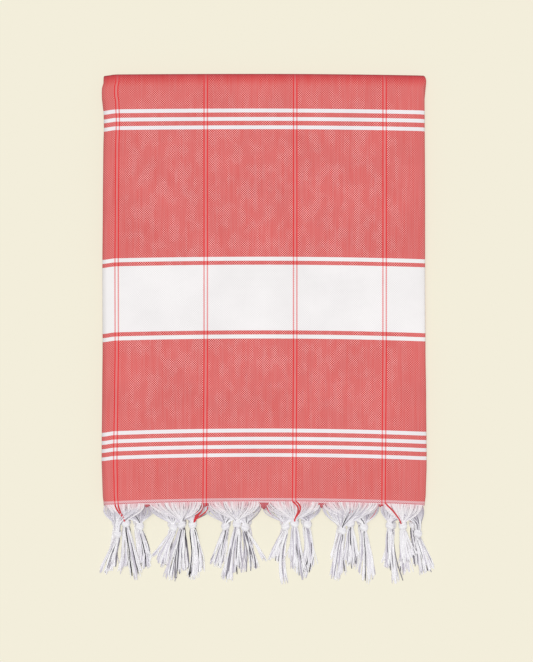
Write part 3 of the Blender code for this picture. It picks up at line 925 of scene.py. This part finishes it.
# The lower end's tassels lie on the floor under them, as offsets from the face's knot in mm:
# (knot x, knot y, middle of the tips x, tips y, locks)
LOWER_TASSELS = {
    "under": (0.5, 1.0, 3.0, -47.0, 4),
    "inner": (-10.5, 0.0, -16.0, -42.0, 3),
    "face": (11.0, 1.5, 16.0, -43.0, 3),
}
LOWER_LOCK_STEP = 2.8
LOWER_TIP_VARIATION = 4.0


def lower_row(name, group, chance):
    """A row like those of UPPER_TASSELS for a tassel of the lower end."""
    face_x, face_y = UPPER_TASSELS["face"][group][:2]
    knot_dx, knot_dy, tail_dx, tail_dy, locks = LOWER_TASSELS[name]
    tips = []
    for lock in range(locks):
        tip_x = face_x + tail_dx + (lock - (locks - 1) / 2) * LOWER_LOCK_STEP
        vary = chance.uniform(-LOWER_TIP_VARIATION, LOWER_TIP_VARIATION)
        tips.append((tip_x, face_y + tail_dy + vary))
    return face_x + knot_dx, face_y + knot_dy, 0.0, tips


def tassel_plans():
    """One plan for each tassel, with the same random draws as the solids."""
    chance = random.Random(11)
    for end, name, run, layers_up, knot_height, floor in LAYERS:
        for group, (left, right) in enumerate(FACE_FANS):
            upper = end == "upper"
            out, belly = SLACK_SIDES[name][group] if upper and name != "face" else (0.0, 0.5)
            left_side = name == "inner"
            left -= out if left_side else 0.0
            right += 0.0 if left_side else out
            row = UPPER_TASSELS[name][group] if upper else lower_row(name, group, chance)
            knot_x, knot_y, bulge, tips = row
            bow_here = bow(knot_x * MM, UPPER_END_Y)
            plan = {"node": f"tassel_{end}_{name}_{group + 1}", "end": end, "layer": name}
            plan.update(group=group, left=left * MM, right=right * MM)
            plan.update(hem_y=UPPER_END_Y if upper else LOWER_END_Y)
            plan.update(hem_z=RUN_Z[run] + layers_up * LAYER_PITCH, knot_z=knot_height * MM)
            plan.update(knot_x=knot_x * MM, knot_y=knot_y * MM + bow_here)
            plan.update(floor=floor * MM, bulge=bulge * MM, locks=len(tips))
            plan["tips"] = [(x * MM, y * MM + bow_here) for x, y in tips]
            plan["belly"] = (-belly if left_side else belly) * MM
            plan["closes_at"] = LOW_FAN_END if knot_y < LOW_KNOT else 1.0
            yield plan


PLANS = list(tassel_plans())
print("tassels", len(PLANS), "locks", sum(plan["locks"] for plan in PLANS))

# %% [markdown]
# ## The way of one yarn
# A yarn leaves the hem straight down, bends over to its knot, runs through it and lies in one of
# the locks of the tail. The outer yarns of the lower fans are slack and swing out in a belly. In a
# lock the yarns turn slowly about each other, none quite like its neighbour, and their cut ends
# fray. A yarn's place is worked out from a few numbers of its own, drawn at random.

# %% Work out a yarn's places
FAN_STOPS = (0.0, 0.08, 0.26, 0.5, 0.75, 1.0)
LOCK_STOPS = (0.07, 0.16, 0.28, 0.42, 0.56, 0.7, 0.84, 0.93, 1.0)
YARN_AT_HEM = 0.76 * MM
YARN_IN_KNOT = 0.5 * MM
YARN_IN_LOCK = 0.6 * MM
YARN_AT_TIP = 0.42 * MM
YARN_START = 1.3 * MM
NECK_HALF = 2.9 * MM
THROAT_HALF = 3.0 * MM
LOCK_OPENING = (0.8 * MM, 1.45 * MM)
# The fan: how early a belly swells, how much later slack yarns close, how deep the fan enters
# the knot, its half thickness in mm at the hem and at the knot, the share of its way at which a
# red yarn dives in among the others, and its height over hem and knot
BELLY_POWER = 0.8
SLACK_CLOSING = 0.7
NECK_DEPTH = 0.6 * MM
FAN_HALF = (0.12, 1.4)
DIVE_FROM = 0.6
OVER_HEM = 0.2 * MM
OVER_KNOT = 0.4 * MM
# In the knot, as shares of its length, half width and height
KNOT_STEPS = (0.2, -0.2)
KNOT_PACKING = 0.5
KNOT_LAYERS = 0.28
# The lock: how deep it starts in the knot, how early it spreads, where it waves and frays, and
# its two steps down to its floor as (share of the height, start, length)
THROAT_DEPTH = 1.2 * MM
SPREAD_POWER = 1.1
WAVE_FROM = 0.3
FRAY_FROM = 0.6
STEPS_DOWN = ((0.6, 0.0, 0.13), (0.4, 0.13, 0.23))


def fan_place(plan, yarn, share):
    """A yarn's place in the fan, from the hem at 0 to the top of the knot at 1."""
    across = yarn["across"]
    hem_x = blend(plan["left"], plan["right"], (across + 1) / 2)
    neck_x = plan["knot_x"] + across * NECK_HALF
    closed = min(share / plan["closes_at"], 1.0)
    slack = abs(across) ** 2 if across * plan["belly"] > 0 else 0.0
    belly = (plan["belly"] * slack + yarn["swing"]) * math.sin(math.pi * closed ** BELLY_POWER)
    x = blend(hem_x, neck_x, closed ** (yarn["closing"] + SLACK_CLOSING * slack)) + belly
    drop = hem_corner(hem_x) * (1 - share) if plan["end"] == "upper" else 0.0
    neck_y = plan["knot_y"] + KNOT_LENGTH / 2 - NECK_DEPTH
    y = blend(plan["hem_y"] + YARN_START, neck_y, share) - drop
    thick = blend(*FAN_HALF, share) * MM
    level = yarn["level"] * (1 - yarn["dive"] * smooth((share - DIVE_FROM) / (1 - DIVE_FROM)))
    z = blend(plan["hem_z"], plan["knot_z"] + OVER_KNOT, smooth(share)) + level * thick
    z += OVER_HEM * (1 - share)
    return x, y, z


def swing(plan, y):
    """How far a tail bulges sideways at y, the same for all of its locks."""
    start_y = plan["knot_y"] - KNOT_LENGTH / 2
    longest = min(tip_y for _, tip_y in plan["tips"])
    return plan["bulge"] * math.sin(math.pi * (start_y - y) / (start_y - longest))


def lock_place(plan, yarn, share):
    """A yarn's place in its lock, from the throat of the knot at 0 to the tip at 1."""
    place = (yarn["lock"] + 0.5) / plan["locks"] * 2 - 1
    throat_x = plan["knot_x"] + place * THROAT_HALF
    throat_y = plan["knot_y"] - KNOT_LENGTH / 2 + THROAT_DEPTH
    tip_x, tip_y = plan["tips"][yarn["lock"]]
    tip_y = throat_y + (tip_y - throat_y) * yarn["length"]
    turn = yarn["turn"] + yarn["twist"] * share
    loose = blend(*LOCK_OPENING, share) * yarn["out"]
    y = blend(throat_y, tip_y, share)
    x = blend(throat_x, tip_x - swing(plan, tip_y), share ** SPREAD_POWER)
    x += swing(plan, y) + loose * math.cos(turn)
    waving = smooth(share / WAVE_FROM)
    x += yarn["wave"] * math.sin(yarn["waves"] * share + yarn["turn"]) * waving
    x += yarn["fray"] * smooth((share - FRAY_FROM) / (1 - FRAY_FROM)) + yarn["stray"] * share ** 2
    down = sum(part * smooth((share - start) / length) for part, start, length in STEPS_DOWN)
    half = LOCK_HEIGHT / 2
    z = blend(plan["knot_z"], plan["floor"] + half, down) + half * yarn["out"] * math.sin(turn)
    return x, y, max(z, plan["floor"] + YARN_IN_LOCK * yarn["thick"])


def yarn_line(plan, yarn):
    """The yarn's places from the hem to its tip, each with its radius."""
    line = []
    for share in FAN_STOPS:
        line.append((*fan_place(plan, yarn, share), blend(YARN_AT_HEM, YARN_IN_KNOT, share)))
    for step in KNOT_STEPS:
        x = plan["knot_x"] + yarn["across"] * KNOT_PACKING * KNOT_WIDTH / 2
        z = plan["knot_z"] + yarn["level"] * KNOT_LAYERS * KNOT_HEIGHT
        line.append((x, plan["knot_y"] + step * KNOT_LENGTH, z, YARN_IN_KNOT))
    for share in LOCK_STOPS:
        thick = YARN_IN_LOCK if share < 1.0 else YARN_AT_TIP
        line.append((*lock_place(plan, yarn, share), thick * yarn["thick"]))
    return line


print("places on a yarn", len(FAN_STOPS) + len(KNOT_STEPS) + len(LOCK_STOPS))

# %% [markdown]
# ## Red yarns
# Where a pinstripe ends, its two red threads run on into the fan. They are slack and lie on top,
# so they show as thin red lines down to the knot. In the tail of the real tassel they can't be
# told from the white ones, so here they end inside the knot. Which tassel they belong to follows
# from the flat cloth: each layer of the hem is another third of its width.

# %% Find the red yarns of a tassel
# Numbers of the pairs that may lie on the cloth, counted from the first one of the face
PINSTRIPE_NUMBERS = (-4, 9)
# Sideways swing of the red yarns of a face tassel, by group, in mm
RED_SWING = (-1.0, 0.0, 0.0, 5.5, 0.0, 2.0)
# The second pair of the face ends in the corner between two fans, and hangs from the layer below
CORNER_TASSEL = ("under", 1)
CORNER_REDS = (-61.6, -58.2)
# How deep a red yarn dives among the white ones before the knot, and how much thicker it is
RED_DIVE = 0.5
RED_THICK = 1.25
# Heights of the red yarns in a fan, where the white ones lie between -1 and 1
RED_LEVEL_ON_TOP = 1.7
RED_LEVEL_BELOW = -0.9
# How early the red yarns close in, and the spread of their swing in the corner, in mm
RED_CLOSING = 1.1
CORNER_SWING = 1.5
# Tassels with their red yarns on top, as (layer, group)
RED_ON_TOP = {("face", group) for group in range(6)} | {CORNER_TASSEL}


def red_places(plan):
    """Where a tassel's part of the hem holds red warp threads."""
    found = []
    for number in range(*PINSTRIPE_NUMBERS):
        for side in (-1, 1):
            across = PINSTRIPE_START + number * PINSTRIPE_PITCH + side * PINSTRIPE_HALF_GAP
            across -= HEM_DRIFT
            if plan["layer"] == "face":
                x = across - FACE_CENTRE_ACROSS
            elif plan["layer"] == "inner":
                x = SECTION[0][0] - across
            else:
                x = SECTION[-1][0] + CLOTH_WIDTH - across
            inside = 0 <= across <= CLOTH_WIDTH
            if inside and plan["left"] <= x <= plan["right"]:
                found.append(x)
    if (plan["layer"], plan["group"]) == CORNER_TASSEL and plan["end"] == "upper":
        found.extend(x * MM for x in CORNER_REDS)
    return found


print("tassels with red yarns", sum(1 for plan in PLANS if red_places(plan)))

# %% [markdown]
# ## Tassels
# Every yarn is a curve with a round bevel, because a curve keeps a soft thread smooth with only a
# few places. All yarns of a tassel go into one curve object, which is made a mesh at the end. The
# knot is drawn as an overhand knot looks: a slanting wrap of yarns round the bundle.

# %% Make the tassels
UPPER_YARNS = 46
LOWER_YARNS = 26
WRAP_TURNS = 7
WRAP_YARN = 1.0 * MM
WRAP_LEAN = 0.6
WRAP_POINTS = 10
# How much the knot narrows to its ends, how far its first and last turns lie from them, and how
# much wider a ring's corners lie than the smooth curve through them
WRAP_ROUNDING = 0.62
WRAP_SETBACK = 2.6 * MM
CORNER_REACH_OUT = 1.1
# Each yarn's own numbers: ranges, and spreads in mm
CLOSING = (1.25, 2.0)
TWIST = (-2.5, 3.5)
WAVES = (6, 15)
LENGTHS = (0.88, 1.02)
THICKNESSES = (0.85, 1.12)
PLACE_SPREAD = 0.3
ACROSS_SPREAD = 0.4
SWING_SPREAD = 0.5
FRAY_SPREAD = 0.9
WAVE_HEIGHT = 0.45
STRAY_SPREAD = 3.0
STRAY_CHANCE = 0.12
WHITE_SLOT, RED_SLOT, KNOT_SLOT = 0, 1, 2
LAYER_YARNS = {"face": white_yarn, "inner": inner_yarn, "under": under_yarn}


def add_spline(curve, line, slot=WHITE_SLOT, closed=False):
    spline = curve.splines.new("NURBS")
    spline.points.add(len(line) - 1)
    for point, (x, y, z, radius) in zip(spline.points, line):
        point.co = (*settle(x, y, z), 1.0)
        point.radius = radius / MM
    spline.order_u = 4 if closed else 3
    spline.use_cyclic_u = closed
    spline.use_endpoint_u = not closed
    spline.resolution_u = 2
    spline.material_index = slot


def add_knot(curve, plan, chance):
    """Slanting wraps round the bundle, widest at the knot's middle."""
    lean = WRAP_LEAN * chance.choice((-1, 1))
    for turn in range(WRAP_TURNS):
        place = (turn / (WRAP_TURNS - 1) - 0.5) * 2
        round_off = math.sqrt(1 - WRAP_ROUNDING * place ** 2)
        wide = (KNOT_WIDTH / 2 - WRAP_YARN) * round_off
        high = (KNOT_HEIGHT / 2 - WRAP_YARN) * round_off
        middle_y = plan["knot_y"] + place * (KNOT_LENGTH / 2 - WRAP_SETBACK)
        line = []
        for step in range(WRAP_POINTS):
            angle = 2 * math.pi * step / WRAP_POINTS
            x = CORNER_REACH_OUT * wide * math.cos(angle)
            z = CORNER_REACH_OUT * high * math.sin(angle)
            y = middle_y + lean * x * math.sin(angle)
            line.append((plan["knot_x"] + x, y, max(plan["knot_z"] + z, WRAP_YARN), WRAP_YARN))
        add_spline(curve, line, KNOT_SLOT, closed=True)


def new_yarn(plan, across, chance):
    """One yarn's own numbers."""
    place = (across + 1) / 2 * plan["locks"] + chance.uniform(-PLACE_SPREAD, PLACE_SPREAD)
    yarn = {"across": across, "level": chance.uniform(-1, 1), "dive": 0.0}
    yarn.update(swing=chance.gauss(0, SWING_SPREAD) * MM, closing=chance.uniform(*CLOSING))
    yarn["lock"] = min(max(int(place), 0), plan["locks"] - 1)
    yarn.update(turn=chance.uniform(0, 2 * math.pi), twist=chance.uniform(*TWIST))
    yarn.update(out=math.sqrt(chance.random()), fray=chance.gauss(0, FRAY_SPREAD) * MM)
    yarn.update(wave=chance.uniform(0, WAVE_HEIGHT) * MM, waves=chance.uniform(*WAVES))
    yarn.update(length=chance.uniform(*LENGTHS), thick=chance.uniform(*THICKNESSES))
    stray = chance.random() < STRAY_CHANCE
    yarn["stray"] = chance.gauss(0, STRAY_SPREAD) * MM if stray else 0.0
    return yarn


def make_tassel(plan, chance):
    curve = bpy.data.curves.new(plan["node"] + "_curves", "CURVE")
    curve.dimensions = "3D"
    curve.bevel_depth = MM
    curve.bevel_resolution = 1
    curve.use_fill_caps = True
    curve.materials.append(LAYER_YARNS[plan["layer"]])
    curve.materials.append(red_yarn)
    curve.materials.append(knot_yarn)
    count = UPPER_YARNS if plan["end"] == "upper" else LOWER_YARNS
    for number in range(count):
        vary = chance.uniform(-ACROSS_SPREAD, ACROSS_SPREAD)
        across = (2 * number + 1) / count - 1 + vary / count
        add_spline(curve, yarn_line(plan, new_yarn(plan, across, chance)))
    for x in red_places(plan):
        across = (x - plan["left"]) / (plan["right"] - plan["left"]) * 2 - 1
        yarn = new_yarn(plan, across, chance)
        sideways = RED_SWING[plan["group"]] * MM if plan["layer"] == "face" else 0.0
        if (plan["layer"], plan["group"]) == CORNER_TASSEL:
            sideways = chance.uniform(-CORNER_SWING, CORNER_SWING) * MM
        on_top = (plan["layer"], plan["group"]) in RED_ON_TOP
        level = RED_LEVEL_ON_TOP if on_top else RED_LEVEL_BELOW
        yarn.update(level=level, swing=sideways, closing=RED_CLOSING, dive=RED_DIVE)
        fan_part = yarn_line(plan, yarn)[:len(FAN_STOPS) + 1]
        add_spline(curve, [(*place, RED_THICK * thick) for *place, thick in fan_part], RED_SLOT)
    add_knot(curve, plan, chance)

    source = bpy.data.objects.new(curve.name, curve)
    mesh = bpy.data.meshes.new_from_object(source)
    mesh.name = plan["node"] + "_yarns"
    bpy.data.objects.remove(source)
    bpy.data.curves.remove(curve)
    mesh.shade_smooth()
    thing = bpy.data.objects.new(mesh.name, mesh)
    bpy.context.scene.collection.objects.link(thing)
    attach(thing, "root")
    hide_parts(plan["node"])
    return thing


yarn_chance = random.Random(29)
tassels = [make_tassel(plan, yarn_chance) for plan in PLANS]
print("tassel faces", sum(len(thing.data.polygons) for thing in tassels))
